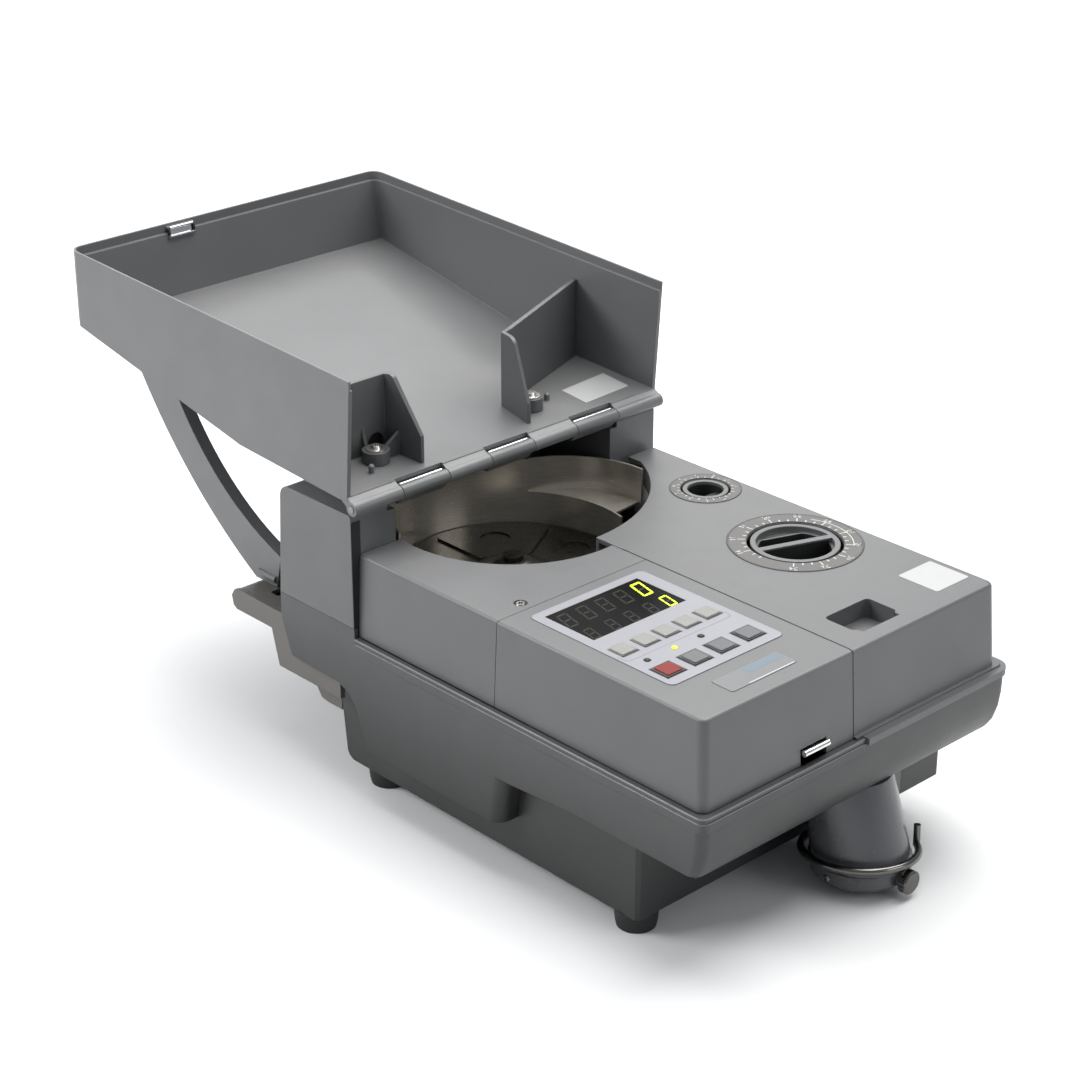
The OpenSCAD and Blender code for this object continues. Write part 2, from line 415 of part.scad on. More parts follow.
module rear_bracket() color([0.42, 0.42, 0.41]) place() difference() { union() {
  cheek = [[275.2, -33.6], [312.2, -33.6], [320, -12.2], [333, -12.6], [366, -12], [370.5, -13.2], [373.4, -17.5], [372, -23.5], [369, -25.3], [336.4, -25.3], [330.4, -47.4], [275.2, -47.4]];
  prof(-0.4, 2.8, cheek);
  prof(216.4, 219.6, cheek);
  // stiffening channel under the bracket
  lip = [[286.2, -47], [286.2, -62], [300, -62], [304.6, -61], [309.4, -54], [313.6, -47]];
  for (x = [9, 205.4]) prof(x, x + 2.6, lip);
  difference() { prof(9.2, 207.8, lip); prof(9.1, 207.9, [[288.8, -40], [288.8, -59.4], [299.6, -59.4], [303.2, -58.8], [307, -53], [311.2, -46], [311.2, -40]]); }
  prof(2.7, 216.5, [[320, -15.6], [366, -15.4], [368.6, -16.6], [370.4, -18.6], [369.4, -22], [338.6, -22], [333.2, -22], [327.2, -44.6], [288, -44.6], [288, -47.2], [329.6, -47.2], [336, -25], [369.6, -25], [371.8, -23], [373.2, -17.6], [370.2, -13.6], [366, -12.6], [320, -12.8]]);
  }
  for (x = [12, 196]) rbox([x, 345.5, -20], [x + 13, 352.5, 0], 1.5);
  // drain holes in the floor of the channel
  for (x = [40, 176]) rodz(-66, -56, x, 294, 3.5);
}

// ---------- outlet ----------
out_x = 138;             // outlet centre line, X
lean = 0.286;            // forward lean of the outlet per unit of height
out_y = 36.45;           // outlet centre line, Y, at the ledge
module cone(i, z0, z1) intersection() {
  translate([out_x, out_y, 0]) rotate([-atan(lean), 0, 0]) translate([0, 0, -100]) cylinder(r1 = 27.6 - i, r2 = 14.4 - i, h = 106);
  box([90, -80, z0], [190, 100, z1]);
}
// wide sleeve below the case, tapering little
module sleeve(i, z0, z1) intersection() {
  translate([out_x, out_y, 0]) rotate([-atan(lean), 0, 0]) translate([0, 0, -100]) cylinder(r1 = 26.7 - i, r2 = 22.4 - i, h = 106);
  box([90, -80, z0], [190, 48.2 - i, z1]);
}
module outlet_tube() color(grey) place() difference() {
  union() {
    cone(0, -45, 1.6);
    sleeve(0, -86, -39.1);
    box([140, 6, -80], [160.2, 14, -39.4]);
  }
  cone(2.2, -60, 20);
  sleeve(2.2, -120, -42);
}
col = [out_x, 11.6];     // collar centre
module tube_collar() color(grey) place() difference() {
  union() {
    rodz(-93.4, -86.1, col[0], col[1], 26.9);
    translate([col[0], col[1], -95.2]) cylinder(r1 = 25.7, r2 = 26.9, h = 1.85);
    rodz(-87.4, -86.1, col[0], col[1] + 0.4, 27.6);
    rody(-17.4, 0, 140, -91.2, 4.6);
  }
  rodz(-110, -70, col[0], col[1], 24.2);
  rody(-30, 8, 140, -91.2, 1.5 + run);
  for (s = [-1, 1]) rodx(col[0] + s * 25 - 4, col[0] + s * 25 + 4, col[1], -91.2, 1.2);
}
module thumbscrew() color([0.5, 0.47, 0.42]) place() union() {
  difference() {
    rody(-21.6, -17.8, 140, -91.2, 6.7);
    for (a = [0 : 18 : 342]) translate([140, -17, -91.2]) rotate([0, a, 0]) translate([6.9, 0, 0]) rotate([90, 0, 0]) cylinder(r = 0.5, h = 8);
  }
  translate([140, -21.55, -91.2]) rotate([90, 0, 0]) cylinder(r1 = 6.2, r2 = 5.6, h = 0.75);
  rody(-17.9, -12.7, 140, -91.2, 1.5);
}
ring_c = [out_x, 12.5, -83.6];
module bag_ring() color([0.35, 0.33, 0.31]) place() translate(ring_c) rotate(a = -7, v = [0.73, -0.68, 0]) union() {
  rotate([0, 0, 72]) rotate_extrude(angle = 252) translate([31, 0]) circle(r = 2.2);
  rotate([0, 0, 325]) translate([31, 0, 0]) cylinder(r = 1.9, h = 11);
}

// ---------- tray ----------
slots = [[27.8, 61.6], [92.2, 125.1], [157.5, 190.7]];   // gaps for the fixed knuckles
function floor_z(y) = 82.6 + 0.04364 * (y - 240);
module tray_plan(i, ext) translate([0, 0, 60]) linear_extrude(130) polygon(rr(-5.8 + i, 200 - ext, 226.8 - i, 509.4 - i, 8 - i));
module hopper_tray() color(grey) place() difference() {
  union() {
    difference() {
      intersection() { prof(-8, 230, [[259.8, 80.15], [350, 84.8], [504.5, 114], [509.4, 160.2], [252, 150], [256.8, 81]]); tray_plan(0, 0); }
      intersection() { prof(-8, 230, [[240, floor_z(240)], [350, 87.4], [502, 116.4], [507, 160.2], [508, 180], [240, 180]]); tray_plan(tray_wall, 0); }
      // step inside the rim
      intersection() { prof(-8, 230, [[240, 144.2], [515, 155], [515, 180], [240, 180]]); tray_plan(1.2, 0); }
      // slots behind the fixed knuckles
      for (s = slots) box([s[0], 240, 70], [s[1], 258.2, 90]);
    }
    for (s = [[-5.6, 27.8], [61.6, 92.2], [125.1, 157.5], [190.7, 226.6]]) {
      rodx(s[0], s[1], hinge_y, hinge_z, barrel_r);
      prof(s[0], s[1], [[253.5, 80.9], [257.5, 83.3], [262, 83.5], [262, 80.3], [257.4, 77.4], [253.5, 77]]);
    }
    // sill and hood of the catch on the rear rim
    box([62.6, 504.6, 151.4], [81.8, 507.5, 153.2]);
    box([62.6, 505.6, 157.2], [81.8, 508.8, 158.6]);
    // locating pegs beside the guides
    for (q = [[24, 272], [165, 283.5]]) { rodz(82.5, 88, q[0], q[1], 1.7); translate([q[0], q[1], 87.98]) cylinder(r1 = 1.7, r2 = 0.9, h = 0.9); }
    // lugs that carry the support arms
    for (x = [[13.4, 17.6], [26.4, 30.6], [192.4, 196.6], [205.4, 209.6]])
      prof(x[0], x[1], concat([[474, 109], [458, 106]], arc(arm_p[0], arm_p[1], 6.5, 160, 380, 10)));
  }
  rodx(-20, 250, hinge_y, hinge_z, pin_r + run);
  rodx(8, 216, arm_p[0], arm_p[1], 3 + run);
  for (s = slots) box([s[0], 248, 70], [s[1], 258.2, 82]);
}
module tray_guide_left() color(grey) place() difference() {
  intersection() {
    union() {
      translate([0, 0, 80]) linear_extrude(60) polygon([[-3.2, 291.4], [50, 291.4], [52.4, 263.6], [54.6, 263.8], [52.6, 293.6], [-3.2, 293.6]]);
      rodz(80, 91.6, 35.3, 281.7, 7.7);
      // sloping ribs from the screw boss to the two walls
      profy(280.4, 282.2, [[40, 80], [40, 91], [53, 99.4], [53, 80]]);
      prof(33.2, 35, [[286, 80], [286, 91], [288.2, 91.3], [291.6, 102.6], [291.6, 80]]);
    }
    prof(-10, 80, concat([[260, floor_z(260) + 0.03], [300, floor_z(300) + 0.03], [300, 128], [294, 128.6]], arc(287.4, 125.6, 4.2, 95, 148, 4), [[264, 99.8], [260, 94]]));
  }
  rodz(70, 100, 35.3, 281.7, 1.65);
  // arched recess in the rear wall beside the boss
  rody(288, 292.9, 43.4, 90.4, 5.6); box([37.8, 290.6, 80], [49, 292.9, 90.5]);
}
module tray_guide_right() color(grey) place() difference() {
  intersection() {
    union() {
      translate([0, 0, 80]) linear_extrude(60) polygon([[133.4, 265.8], [135.6, 265.4], [141.2, 292.2], [224.2, 321], [224.2, 323.4], [139, 294]]);
      rodz(80, 92, 149.5, 280.5, 7.2);
      translate([0, 0, 80]) linear_extrude(11.8) polygon([[138.6, 284.6], [138, 281.4], [147, 277.6], [148, 281]]);
    }
    union() {
      prof(130, 146, concat([[262, floor_z(262) + 0.03], [330, floor_z(330) + 0.03], [330, 130], [294, 130]], arc(285.6, 123.2, 6.8, 90, 152, 5), [[266, 96], [262, 88]]));
      prof(145.9, 230, [[270, floor_z(270) + 0.03], [330, floor_z(330) + 0.03], [330, 136], [296, 130], [270, 126]]);
    }
  }
  rodz(70, 100, 149.5, 280.5, 1.65);
}
module guide_screws() color(steel) place() for (q = [[35.3, 281.7, 91.65], [149.5, 280.5, 92.05]]) translate(q) {
  screw(3.4, 2.5, 7, 1.6); difference() { cylinder(r = 5.6, h = 0.8); translate([0, 0, -1]) cylinder(r = 3.3, h = 3); }
}
module arm() difference() {
  union() {
    prof(0, 8, concat(arc(212.2, 264.1, 320, -33, -59.7, 18), [[354, -12.2]], arc(295.8, 172.8, 173, -72, -30, 18)));
    rodx(0, 8, arm_p[0], arm_p[1], 6.6);
  }
  rodx(-1, 9, arm_p[0], arm_p[1], 3);
}
module support_arms() color(grey) place() union() {
  translate([18, 0, 0]) union() { arm(); rody(354, 370, 0, -7.4, 2.2); }
  translate([197, 0, 0]) union() { arm(); rody(354, 370, 8, -7.4, 2.2); }
}
module arm_rod() color(steel) place() rodx(12.8, 210.2, arm_p[0], arm_p[1], 2.98);
module cover_hinge_post() color(dark) place() union() {
  box([193.6, 244.4, 5], [199.4, 249.6, cov_z]);
  rodx(193.6, 199.4, 247, cov_z, 2.6);
  rodx(199.3, 217.6, 247, cov_z, 1.5);
}
module main_board() color([0.05, 0.28, 0.14]) place() union() {
  box([18, 72, -80], [62, 200, -78.4]);
  box([24, 90, -78.4], [48, 114, -74]); box([26, 130, -78.4], [44, 150, -70]); box([30, 165, -78.4], [50, 185, -72]);
  for (p = [[22, 80], [58, 80], [22, 192], [58, 192]]) rodz(-87, -80, p[0], p[1], 3);
}
module power_supply() color([0.35, 0.3, 0.2]) place() union() {
  box([140, 110, -87], [200, 170, -48]);
  box([134, 126, -80], [206, 154, -56]);
}

base_tub();
rubber_feet();
case_screws();
lower_case();
rear_housing();
hopper_cover();
control_cover();
overlay_panel();
badge_plate();
display_window();
display_board();
indicator_lamps();
feed_deck();
hopper_bowl();
coin_track();
belt_frame();
feed_belt();
feed_motor();
coin_sensor();
drive_motor();
main_board();
power_supply();
power_inlet();
rear_bracket();
hinge_pin();
cover_hinge_post();
outlet_tube();
tube_collar();
hopper_tray();
tray_guide_left();
tray_guide_right();
guide_screws();
support_arms();
arm_rod();
right_cover();
diameter_scale();
thickness_scale();
diameter_dial();
gauge_slide();
thickness_dial();
thickness_gate();
release_latch();
key_top_1();
key_top_2();
key_top_3();
key_top_4();
key_top_5();
key_low_1();
key_low_2();
key_low_3();
key_low_4();
feed_disc();
disc_gear();
motor_pinion();
belt_roller_front();
belt_roller_rear();
thumbscrew();
bag_ring();
power_switch();
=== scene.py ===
import bpy
import bmesh
import json
import math
from mathutils import Vector, Matrix


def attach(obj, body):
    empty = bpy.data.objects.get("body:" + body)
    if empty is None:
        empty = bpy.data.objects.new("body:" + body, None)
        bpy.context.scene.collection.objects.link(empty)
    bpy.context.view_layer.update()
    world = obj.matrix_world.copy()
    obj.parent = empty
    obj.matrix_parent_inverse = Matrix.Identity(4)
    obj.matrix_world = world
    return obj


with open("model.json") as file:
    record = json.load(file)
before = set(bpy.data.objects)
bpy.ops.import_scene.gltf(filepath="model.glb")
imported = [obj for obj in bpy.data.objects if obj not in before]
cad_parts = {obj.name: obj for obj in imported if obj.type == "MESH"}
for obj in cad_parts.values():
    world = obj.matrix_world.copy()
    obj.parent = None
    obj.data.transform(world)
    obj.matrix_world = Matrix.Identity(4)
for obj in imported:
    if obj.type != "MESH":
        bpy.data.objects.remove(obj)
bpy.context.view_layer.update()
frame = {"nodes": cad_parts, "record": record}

N = frame["nodes"]
SC = bpy.context.scene


def M(x, y, z):
    """Machine millimetres (front top left edge of the case) to metres in the frame."""
    return Vector(((x - 112.5) / 1000, (y - 243.55) / 1000, (z + 101) / 1000))


# ---------------------------------------------------------------- camera, light
cam_d = bpy.data.cameras.new("camera")
cam = bpy.data.objects.new("camera", cam_d)
SC.collection.objects.link(cam)
cam_d.lens = 85.97
cam_d.sensor_width = 36
cam_d.clip_start, cam_d.clip_end = 0.05, 50
cam.location = M(-785.6, -726.7, 639.3)
cam.rotation_mode = "QUATERNION"
cam.rotation_quaternion = Vector((0.6197, 0.6623, -0.4212)).to_track_quat("-Z", "Y")
SC.camera = cam
SC.view_settings.view_transform = "Standard"

world = bpy.data.worlds.new("studio")
SC.world = world
world.use_nodes = True
world.node_tree.nodes["Background"].inputs[0].default_value = (0.86, 0.93, 1.0, 1)
world.node_tree.nodes["Background"].inputs[1].default_value = 0.46


def area(name, loc, target, sx, sy, watts, col=(1, 1, 1)):
    d = bpy.data.lights.new(name, "AREA")
    d.shape, d.size, d.size_y, d.energy, d.color = "RECTANGLE", sx, sy, watts, col
    o = bpy.data.objects.new(name, d)
    SC.collection.objects.link(o)
    o.location = loc
    o.rotation_mode = "QUATERNION"
    o.rotation_quaternion = (Vector(target) - Vector(loc)).to_track_quat("-Z", "Y")
    return o


area("top_box", (0.55, 0.15, 2.0), (0.0, -0.02, 0.1), 2.2, 2.2, 108, (1.0, 0.993, 0.98))
area("left_key", (-1.05, 0.62, 0.86), (-0.12, 0.12, 0.20), 0.8, 0.5, 17)
area("front_fill", (0.75, -1.9, 1.05), (0, -0.05, 0.15), 1.2, 0.8, 10)
area("back_card", (1.5, 1.75, 0.75), (0, 0, 0.15), 1.8, 1.0, 11, (1.0, 0.985, 0.96))

# ---------------------------------------------------------------- material building


def new_mat(name):
    m = bpy.data.materials.new(name)
    m.use_nodes = True
    nt = m.node_tree
    nt.nodes.clear()
    out = nt.nodes.new("ShaderNodeOutputMaterial")
    b = nt.nodes.new("ShaderNodeBsdfPrincipled")
    nt.links.new(b.outputs[0], out.inputs[0])
    return m, nt, b


def coords(nt, scale=(1, 1, 1), loc=(0, 0, 0)):
    tc = nt.nodes.new("ShaderNodeTexCoord")
    mp = nt.nodes.new("ShaderNodeMapping")
    mp.inputs["Scale"].default_value = scale
    mp.inputs["Location"].default_value = loc
    nt.links.new(tc.outputs["Object"], mp.inputs["Vector"])
    return mp.outputs[0]


def noise(nt, vec, scale, detail=3.0, rough=0.55):
    n = nt.nodes.new("ShaderNodeTexNoise")
    n.inputs["Scale"].default_value = scale
    n.inputs["Detail"].default_value = detail
    n.inputs["Roughness"].default_value = rough
    nt.links.new(vec, n.inputs["Vector"])
    return n.outputs[0]


def ramp(nt, fac, stops):
    r = nt.nodes.new("ShaderNodeValToRGB")
    els = r.color_ramp.elements
    while len(els) < len(stops):
        els.new(0.5)
    for e, (p, c) in zip(els, stops):
        e.position = p
        e.color = (c[0], c[1], c[2], 1)
    nt.links.new(fac, r.inputs[0])
    return r.outputs[0]


def span(nt, fac, a, b, lo=0.3, hi=0.7):
    r = nt.nodes.new("ShaderNodeMapRange")
    r.inputs["From Min"].default_value = lo
    r.inputs["From Max"].default_value = hi
    r.inputs["To Min"].default_value = a
    r.inputs["To Max"].default_value = b
    nt.links.new(fac, r.inputs[0])
    return r.outputs[0]


def bump(nt, b, height, strength, dist, chain=None):
    n = nt.nodes.new("ShaderNodeBump")
    n.inputs["Strength"].default_value = strength
    n.inputs["Distance"].default_value = dist
    nt.links.new(height, n.inputs["Height"])
    if chain is not None:
        nt.links.new(chain, n.inputs["Normal"])
    nt.links.new(n.outputs[0], b.inputs["Normal"])
    return n.outputs[0]


def mixc(nt, fac, a, b, mode="MIX"):
    n = nt.nodes.new("ShaderNodeMix")
    n.data_type = "RGBA"
    n.blend_type = mode
    for sock, v in ((n.inputs[0], fac), (n.inputs[6], a), (n.inputs[7], b)):
        if isinstance(v, (float, int)):
            sock.default_value = v
        elif isinstance(v, tuple):
            sock.default_value = (v[0], v[1], v[2], 1)
        else:
            nt.links.new(v, sock)
    return n.outputs[2]


def shade(c, k):
    return (c[0] * k, c[1] * k, c[2] * k)


def edges(nt, radius):
    """Rounded edge normal, and a mask that is 1 on the edge itself."""
    bv = nt.nodes.new("ShaderNodeBevel")
    bv.samples = 4
    bv.inputs["Radius"].default_value = radius
    geo = nt.nodes.new("ShaderNodeNewGeometry")
    dot = nt.nodes.new("ShaderNodeVectorMath")
    dot.operation = "DOT_PRODUCT"
    nt.links.new(bv.outputs[0], dot.inputs[0])
    nt.links.new(geo.outputs["Normal"], dot.inputs[1])
    return bv.outputs[0], span(nt, dot.outputs["Value"], 1.0, 0.0, 0.72, 0.985)


def plastic(name, c, rough=(0.36, 0.46), grain=1700, strength=0.08, spread=0.035, cloud=14, spec=0.5, edge=0.0007, wear_and_highlight=1.9, low=None):
    """Moulded plastic: fine spark-eroded grain, faint cloudy colour, slightly uneven sheen, edges lighter (partly
    rubbed wear, partly painted highlight); with low, a painted shade that darkens it towards the bottom.
    """
    m, nt, b = new_mat(name)
    v = coords(nt)
    big = noise(nt, v, cloud, 4)
    fine = noise(nt, v, grain, 2)
    col = ramp(nt, big, [(0.32, shade(c, 1 - spread)), (0.68, shade(c, 1 + spread))])
    speck = ramp(nt, fine, [(0.30, (0.93, 0.93, 0.93)), (0.70, (1.0, 1.0, 1.0))])
    col = mixc(nt, 1.0, col, speck, "MULTIPLY")
    # painted shade: colour multiplied down below height z1, reaching k at z0
    if low:
        sep = nt.nodes.new("ShaderNodeSeparateXYZ")
        nt.links.new(v, sep.inputs[0])
        z0, z1, k = low
        painted_shade = ramp(nt, span(nt, sep.outputs[2], 0.0, 1.0, z0, z1), [(0.0, (k, k, k * 1.02)), (1.0, (1.0, 1.0, 1.0))])
        col = mixc(nt, 1.0, col, painted_shade, "MULTIPLY")
    rg = span(nt, noise(nt, v, cloud * 3.1, 5), rough[0], rough[1])
    chain = None
    # edges painted lighter: partly rubbed wear, partly painted highlight
    if edge:
        chain, mask = edges(nt, edge)
        rub = span(nt, noise(nt, v, 120, 4), 0.35, 1.0)
        mul = nt.nodes.new("ShaderNodeMath")
        mul.operation = "MULTIPLY"
        nt.links.new(mask, mul.inputs[0])
        nt.links.new(rub, mul.inputs[1])
        col = mixc(nt, mul.outputs[0], col, mixc(nt, 1.0, col, (wear_and_highlight, wear_and_highlight, wear_and_highlight), "MULTIPLY"))
    nt.links.new(col, b.inputs["Base Color"])
    nt.links.new(rg, b.inputs["Roughness"])
    b.inputs["Specular IOR Level"].default_value = spec
    bump(nt, b, fine, strength, 0.0002, chain)
    return m


def steel(name, c, rough, stretch, aniso=0.0, scale=60, loc=(0, 0, 0), depth=0.12, dark=0.86, edge=0.0, metal=1.0):
    """Brushed metal: long fine lines along the directions with a small stretch factor."""
    m, nt, b = new_mat(name)
    v = coords(nt, stretch, loc)
    lines = noise(nt, v, scale, 6, 0.7)
    w = coords(nt)
    stain = noise(nt, w, 22, 4)
    nt.links.new(mixc(nt, 1.0, ramp(nt, lines, [(0.30, shade(c, dark)), (0.70, shade(c, 1.06))]),
                      ramp(nt, stain, [(0.30, (0.88, 0.87, 0.84)), (0.70, (1, 1, 1))]), "MULTIPLY"), b.inputs["Base Color"])
    b.inputs["Metallic"].default_value = metal
    nt.links.new(span(nt, lines, rough[0], rough[1]), b.inputs["Roughness"])
    if aniso:
        b.inputs["Anisotropic"].default_value = aniso
    chain = edges(nt, edge)[0] if edge else None
    bump(nt, b, lines, depth, 0.00012, chain)
    return m


def lit(name, c, power):
    """Lit lamp or display segment: coloured plastic that glows, a little unevenly."""
    m, nt, b = new_mat(name)
    v = coords(nt)
    col = ramp(nt, noise(nt, v, 700, 3), [(0.3, shade(c, 0.8)), (0.7, c)])
    nt.links.new(col, b.inputs["Base Color"])
    nt.links.new(col, b.inputs["Emission Color"])
    b.inputs["Emission Strength"].default_value = power
    nt.links.new(span(nt, noise(nt, v, 900, 2), 0.25, 0.4), b.inputs["Roughness"])
    bump(nt, b, noise(nt, v, 1500, 2), 0.03, 0.0001)
    return m


GREY = (0.084, 0.0845, 0.0858)
MAT = {
    "grey_plastic": plastic("moulded_grey", GREY),
    "dark_plastic": plastic("moulded_dark", (0.020, 0.020, 0.021), (0.42, 0.56)),
    "rubber": plastic("rubber", (0.009, 0.009, 0.009), (0.55, 0.75), grain=900, strength=0.25, wear_and_highlight=1.1),
    "brushed_steel": steel("brushed_steel", (0.60, 0.56, 0.50), (0.16, 0.28), (0.05, 0.05, 1.0), scale=1400, dark=0.80, metal=0.72),
    "zinc_steel": steel("plated_steel", (0.66, 0.65, 0.63), (0.26, 0.40), (1, 1, 1), scale=900, depth=0.05, edge=0.0002),
    "chrome": steel("chrome", (0.88, 0.88, 0.89), (0.04, 0.10), (0.2, 1, 1), scale=500, depth=0.02, edge=0.0003),
    "wire_steel": steel("wire_steel", (0.15, 0.145, 0.14), (0.18, 0.26), (1, 1, 1), scale=120, depth=0.02, dark=0.9),
    "overlay": plastic("overlay_film", (0.185, 0.185, 0.200), (0.34, 0.44), grain=2600, strength=0.03, spread=0.012, edge=0.0002),
    "badge": plastic("badge_film", (0.116, 0.117, 0.119), (0.31, 0.335), grain=2600, strength=0.03, spread=0.05, edge=0.0003),
    "display": plastic("display_lens", (0.0045, 0.0045, 0.004), (0.16, 0.22), grain=600, strength=0.01, spread=0.1, edge=0, spec=0.05),
    "lamp": plastic("lamp_lens", (0.006, 0.006, 0.006), (0.15, 0.25), grain=600, strength=0.02, edge=0, spec=0.2),
    "key_pale": plastic("key_pale", (0.160, 0.158, 0.147), (0.40, 0.50), spread=0.02, edge=0.0004),
    "key_grey": plastic("key_grey", (0.062, 0.064, 0.068), (0.40, 0.50), spread=0.02, edge=0.0004),
    "key_red": plastic("key_red", (0.135, 0.010, 0.006), (0.45, 0.55), spread=0.03, edge=0.0004, wear_and_highlight=1.15, spec=0.22),
    "scale": plastic("scale_film", (0.060, 0.0575, 0.054), (0.42, 0.52), grain=2600, strength=0.03, spread=0.015, edge=0),
    "board": plastic("board", (0.02, 0.10, 0.04), (0.35, 0.5), edge=0),
    "gear_plastic": plastic("gear_plastic", (0.52, 0.50, 0.43), (0.4, 0.5), edge=0),
    "motor_metal": plastic("motor_paint", (0.05, 0.05, 0.054), (0.35, 0.5), edge=0),
    "copper_iron": plastic("varnished_core", (0.18, 0.14, 0.07), (0.4, 0.6), edge=0),
}
CLIP = steel("bright_clip", (0.60, 0.60, 0.61), (0.16, 0.24), (0.1, 1, 1), scale=300, depth=0.02)
# black: own colour of the unlit lamp lenses and lamp rims, painted shade in the pockets, gaps and recesses
BLACK = plastic("black_and_painted_shade", (0.0045, 0.0045, 0.005), (0.5, 0.65), edge=0)
INK_WHITE = plastic("ink_white", (0.42, 0.415, 0.40), (0.45, 0.55), grain=2600, strength=0.02, spread=0.03, edge=0)
# dark print, also used as painted shadow round the keys and along the big dial ring
DARK_INK_AND_SHADOW = plastic("dark_ink_and_painted_shadow", (0.022, 0.022, 0.024), (0.45, 0.55), grain=2600, strength=0.02, spread=0.1, edge=0)
INK_GREY = plastic("ink_grey", (0.10, 0.10, 0.115), (0.45, 0.55), grain=2600, strength=0.02, spread=0.05, edge=0)
STRIPE = plastic("badge_stripe", (0.084, 0.122, 0.150), (0.31, 0.335), grain=2600, strength=0.01, spread=0.02, edge=0)
BRIGHT = plastic("badge_edge", (0.36, 0.36, 0.36), (0.14, 0.22), grain=2600, strength=0.02, spread=0.04, edge=0)
LABEL = plastic("label_paper", (0.30, 0.30, 0.30), (0.40, 0.52), grain=2600, strength=0.04, spread=0.015, edge=0)
SEG_DIM = plastic("segment_dim", (0.0125, 0.0110, 0.0085), (0.30, 0.40), grain=900, strength=0.03, spread=0.1, edge=0, spec=0.14)
SEG_LIT = lit("segment_lit", (0.72, 0.90, 0.02), 0.85)
LAMP_LIT = lit("lamp_lit", (0.74, 0.78, 0.02), 0.55)
# painted shade: the lower case in a darker copy of the grey, darkened further towards the bottom
CASE_LOW = plastic("moulded_grey_low_painted_shade", shade(GREY, 0.64), spec=0.38, low=(0.028, 0.098, 0.26))
# painted shade: the base tub in a much darker copy of the grey
TUB = plastic("moulded_grey_tub", shade(GREY, 0.21))
# painted shade: the tray guides in a darker copy of the grey
GUIDE = plastic("moulded_grey_guide_painted_shade", shade(GREY, 0.79))
# painted highlight: a lighter copy of the grey for the ledge bead's lips
LEDGE_HIGHLIGHT = plastic("ledge_painted_highlight", shade(GREY, 1.45), (0.26, 0.36), edge=0)
# painted light: the tray and support arms in a lighter copy of the grey
TRAY = plastic("moulded_grey_tray_painted_light", shade(GREY, 1.24))
TUBE = plastic("moulded_grey_tube", (0.060, 0.061, 0.066), (0.20, 0.30))
PAINT = plastic("bracket_paint", (0.086, 0.080, 0.073), (0.40, 0.52), wear_and_highlight=1.5)
DISC = steel("worn_disc", (0.11, 0.104, 0.094), (0.24, 0.36), (1, 1, 1), scale=240, depth=0.03, dark=0.85)
DULL = steel("dull_zinc", (0.24, 0.23, 0.212), (0.34, 0.48), (1, 1, 1), scale=700, depth=0.05, edge=0.0002)
FINISH = {"feed_disc": DISC, "case_screws": DULL, "hinge_pin": DULL, "hopper_tray": TRAY, "support_arms": TRAY, "lower_case": CASE_LOW, "base_tub": TUB, "tray_guide_left": GUIDE, "tray_guide_right": GUIDE,
          "outlet_tube": TUBE, "tube_collar": TUBE, "rear_bracket": PAINT}

# ---------------------------------------------------------------- CAD nodes: finish
slots = {s["node"]: s["material_slot"] for s in frame["record"]["subparts"]}
for name, o in N.items():
    me = o.data
    me.materials.clear()
    me.materials.append(FINISH.get(name, MAT[slots[name]]))
    if "custom_normal" in me.attributes:
        me.attributes.remove(me.attributes["custom_normal"])
    me.polygons.foreach_set("use_smooth", [True] * len(me.polygons))
    w = o.modifiers.new("weld", "WELD")
    w.merge_threshold = 0.00001
    e = o.modifiers.new("crease", "EDGE_SPLIT")
    e.split_angle = math.radians(32)
    e.use_edge_sharp = False
    wn = o.modifiers.new("normals", "WEIGHTED_NORMAL")
    wn.mode = "FACE_AREA"
    wn.weight = 90

# ---------------------------------------------------------------- detail pieces built here


def prism(bm, pts, z0, z1):
    """Closed slab over an outline in machine X,Y; z0 and z1 are heights or functions of x, y."""
    f0 = z0 if callable(z0) else (lambda x, y: z0)
    f1 = z1 if callable(z1) else (lambda x, y: z1)
    if sum(a[0] * b[1] - b[0] * a[1] for a, b in zip(pts, pts[1:] + pts[:1])) < 0:
        pts = pts[::-1]
    lo = [bm.verts.new(M(x, y, f0(x, y))) for x, y in pts]
    hi = [bm.verts.new(M(x, y, f1(x, y))) for x, y in pts]
    bm.faces.new(lo[::-1])
    bm.faces.new(hi)
    n = len(pts)
    for i in range(n):
        k = (i + 1) % n
        bm.faces.new((lo[i], lo[k], hi[k], hi[i]))


def band(bm, c, r0, r1, a0, a1, z0, z1, n=None):
    """Closed curved strip between two radii; a full turn when it spans 360 degrees."""
    full = abs(a1 - a0) >= 359.99
    n = n or max(2, int(abs(a1 - a0) / 5))
    rows = []
    for i in range(n if full else n + 1):
        a = math.radians(a0 + (a1 - a0) * i / n)
        ca, sa = math.cos(a), math.sin(a)
        rows.append([bm.verts.new(M(c[0] + r * ca, c[1] + r * sa, z)) for r, z in ((r0, z0), (r1, z0), (r1, z1), (r0, z1))])
    m = len(rows)
    for i in range(m if full else m - 1):
        p, q = rows[i], rows[(i + 1) % m]
        for k in range(4):
            bm.faces.new((p[k], q[k], q[(k + 1) % 4], p[(k + 1) % 4]))
    if not full:
        bm.faces.new(rows[0])
        bm.faces.new(rows[-1][::-1])


def piece(name, bm, mat, body, smooth=None):
    bmesh.ops.recalc_face_normals(bm, faces=bm.faces)
    me = bpy.data.meshes.new(name)
    bm.to_mesh(me)
    bm.free()
    me.materials.append(mat)
    if smooth is not None:
        me.polygons.foreach_set("use_smooth", [True] * len(me.polygons))
        me.set_sharp_from_angle(angle=math.radians(smooth))
    o = bpy.data.objects.new(name, me)
    SC.collection.objects.link(o)
    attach(o, body)
    return o


